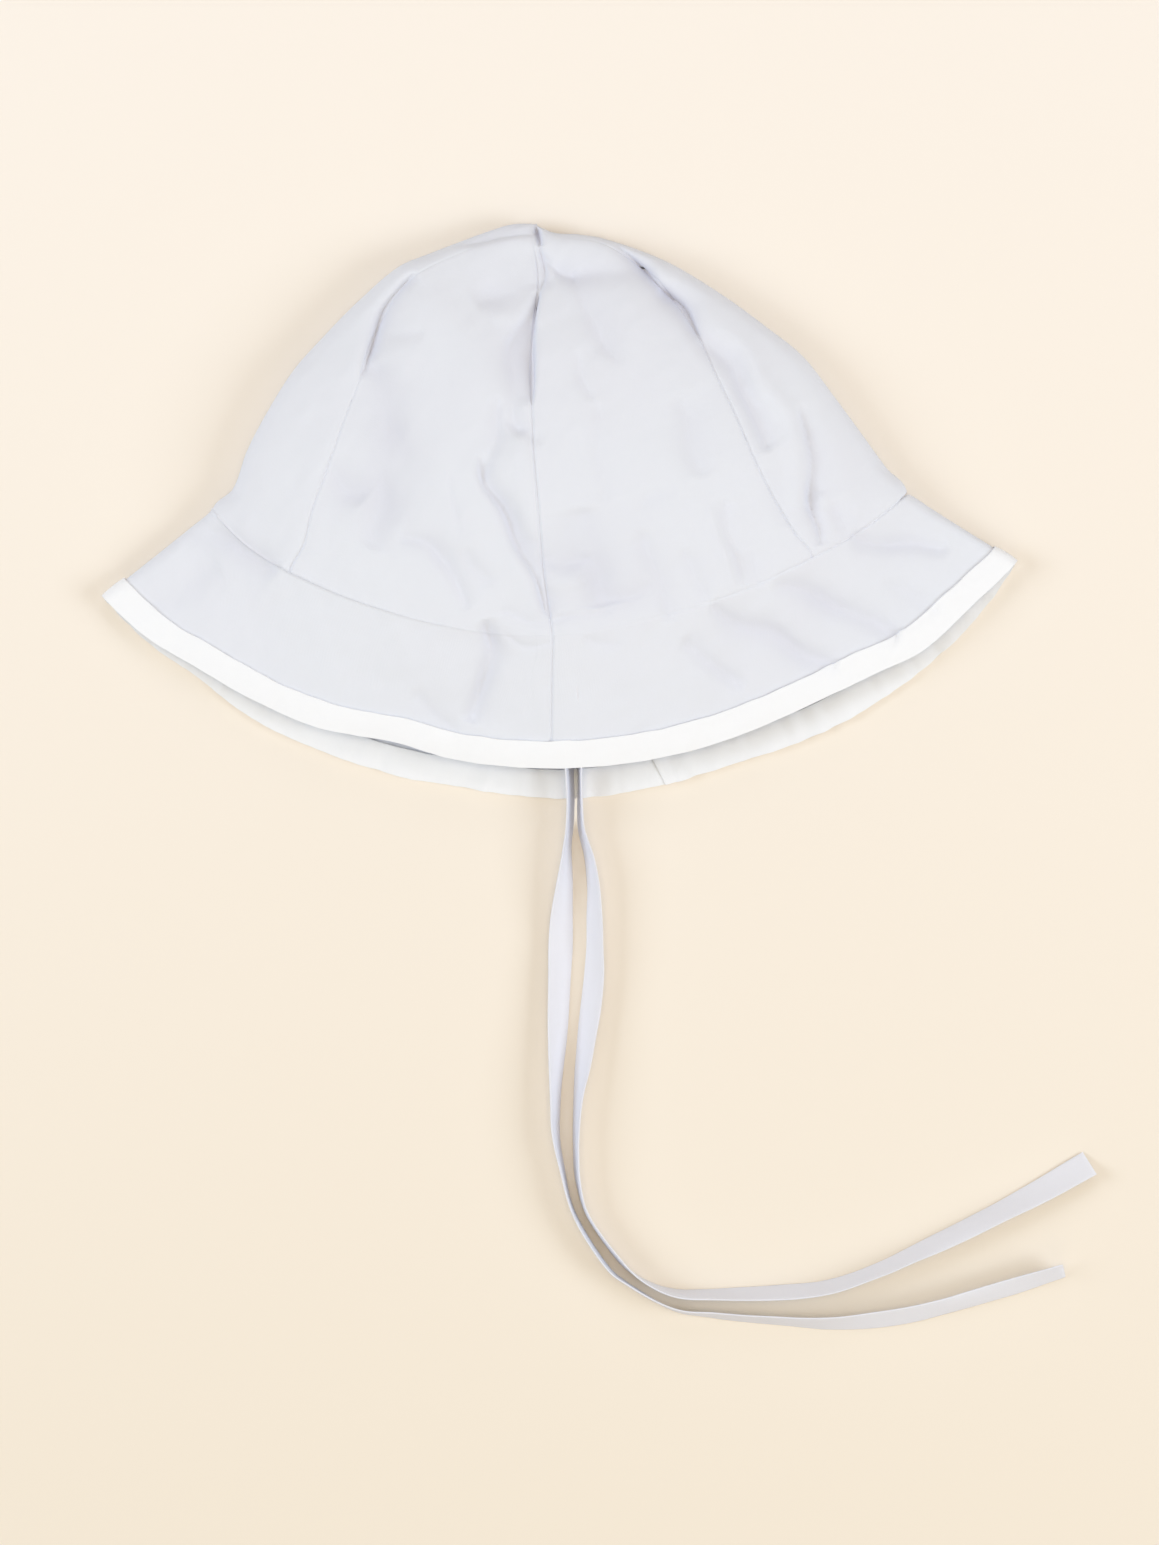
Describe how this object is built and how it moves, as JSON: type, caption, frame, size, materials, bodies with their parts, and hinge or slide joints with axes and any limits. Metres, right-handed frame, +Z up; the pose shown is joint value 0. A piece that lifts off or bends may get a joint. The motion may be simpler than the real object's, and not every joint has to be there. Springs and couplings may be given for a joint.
{
  "type": "baby sun hat",
  "caption": "Baby's brimmed cotton sun hat lying on its side, with a gored crown, a bound brim edge and long flat ties.",
  "frame": {"origin": "on the surface that the hat lies on, under the middle of its box without the ties", "axes": "+X across the hat towards the right-hand side fold, +Y from the mouth to the top of the crown, +Z up from the surface"},
  "size_m": [0.2978, 0.3314, 0.027],
  "materials": {
    "cotton_cloth": "matt woven cotton, very pale blue-lilac",
    "white_binding": "matt white cotton tape",
    "tie_cloth": "matt woven cotton, very pale lilac"
  },
  "bodies": {
    "root": {"gore_upper_left": "cotton_cloth", "gore_upper_right": "cotton_cloth", "gore_side_left": "cotton_cloth", "gore_side_right": "cotton_cloth", "gore_lower_left": "cotton_cloth", "gore_lower_right": "cotton_cloth", "brim_left": "cotton_cloth", "brim_right": "cotton_cloth", "edge_binding": "white_binding", "tie_lower": "tie_cloth", "tie_upper": "tie_cloth"}
  },
  "joints": []
}
